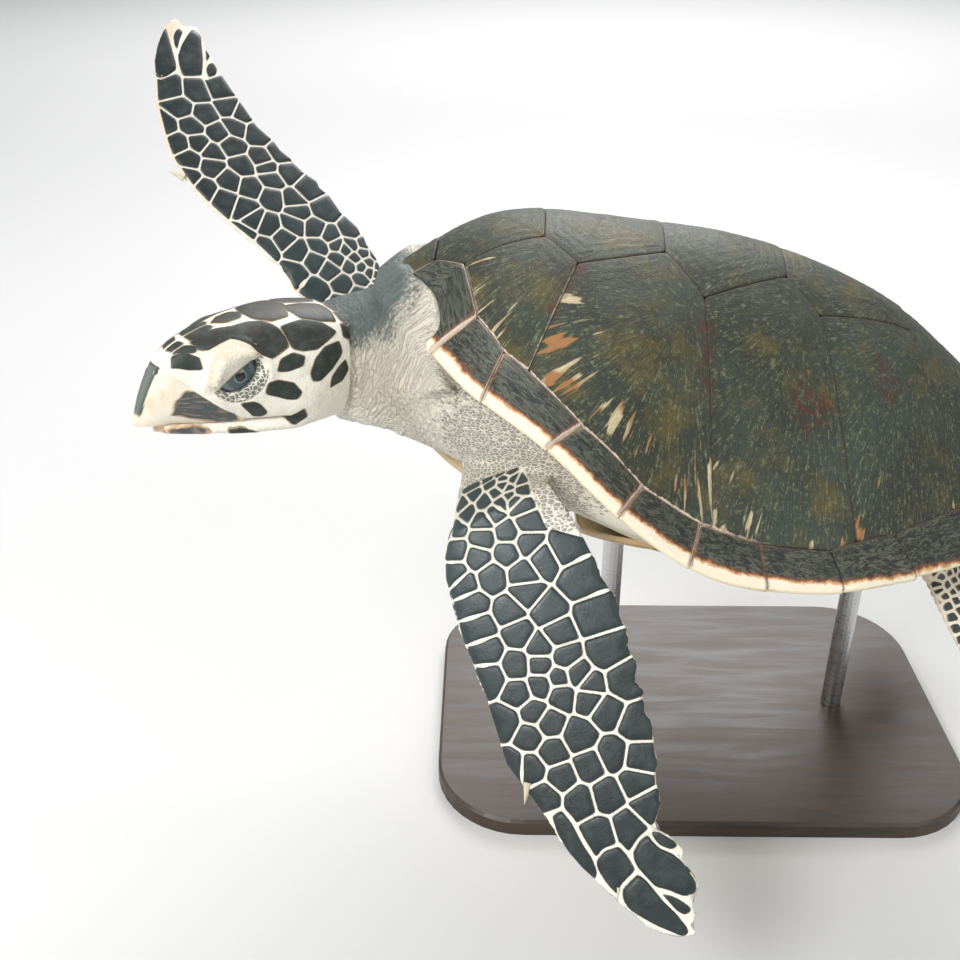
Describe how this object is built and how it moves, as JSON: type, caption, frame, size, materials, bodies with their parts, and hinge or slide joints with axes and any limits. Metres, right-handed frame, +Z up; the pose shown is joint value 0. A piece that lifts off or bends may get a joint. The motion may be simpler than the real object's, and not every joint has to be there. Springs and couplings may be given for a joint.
{
  "type": "sea turtle model",
  "caption": "Life-size hawksbill sea turtle swimming with front flippers spread, head turned to its left, held over a flat base by two short rods.",
  "frame": {"origin": "middle of the stand base's flat underside, on the floor", "axes": "+Z up, the turtle faces -Y, its left side is +X"},
  "size_m": [0.7409, 0.9464, 0.7134],
  "materials": {
    "carapace_horn": "satin horn, olive-brown, mottled",
    "marginal_horn": "satin horn, dark brown with amber edge",
    "belly_horn": "satin horn, cream-yellow",
    "skin": "matt, finely wrinkled, grey-cream",
    "scaled_skin": "satin dark scales parted by pale skin",
    "beak_horn": "satin horn, cream with grey stripes",
    "claw_horn": "satin horn, cream",
    "eye": "wet gloss, near black",
    "stand_wood": "charcoal paint, satin",
    "stand_steel": "brushed"
  },
  "bodies": {
    "root": {"vertebral_1": "carapace_horn", "vertebral_2": "carapace_horn", "vertebral_3": "carapace_horn", "vertebral_4": "carapace_horn", "vertebral_5": "carapace_horn", "costal_left_1": "carapace_horn", "costal_left_2": "carapace_horn", "costal_left_3": "carapace_horn", "costal_left_4": "carapace_horn", "costal_right_1": "carapace_horn", "costal_right_2": "carapace_horn", "costal_right_3": "carapace_horn", "costal_right_4": "carapace_horn", "nuchal": "carapace_horn", "rim_left": "marginal_horn", "rim_right": "marginal_horn", "plastron": "belly_horn", "trunk": "skin", "neck": "skin", "head": "scaled_skin", "lower_jaw": "scaled_skin", "beak_upper": "beak_horn", "beak_lower": "beak_horn", "eye_left": "eye", "eye_right": "eye", "flipper_front_left": "scaled_skin", "flipper_front_right": "scaled_skin", "flipper_rear_left": "scaled_skin", "flipper_rear_right": "scaled_skin", "tail": "scaled_skin", "claw_front_left_1": "claw_horn", "claw_front_left_2": "claw_horn", "claw_front_right_1": "claw_horn", "claw_front_right_2": "claw_horn", "claw_rear_left_1": "claw_horn", "claw_rear_left_2": "claw_horn", "claw_rear_right_1": "claw_horn", "claw_rear_right_2": "claw_horn", "stand_base": "stand_wood", "stand_rod_front": "stand_steel", "stand_rod_rear": "stand_steel"}
  },
  "joints": []
}
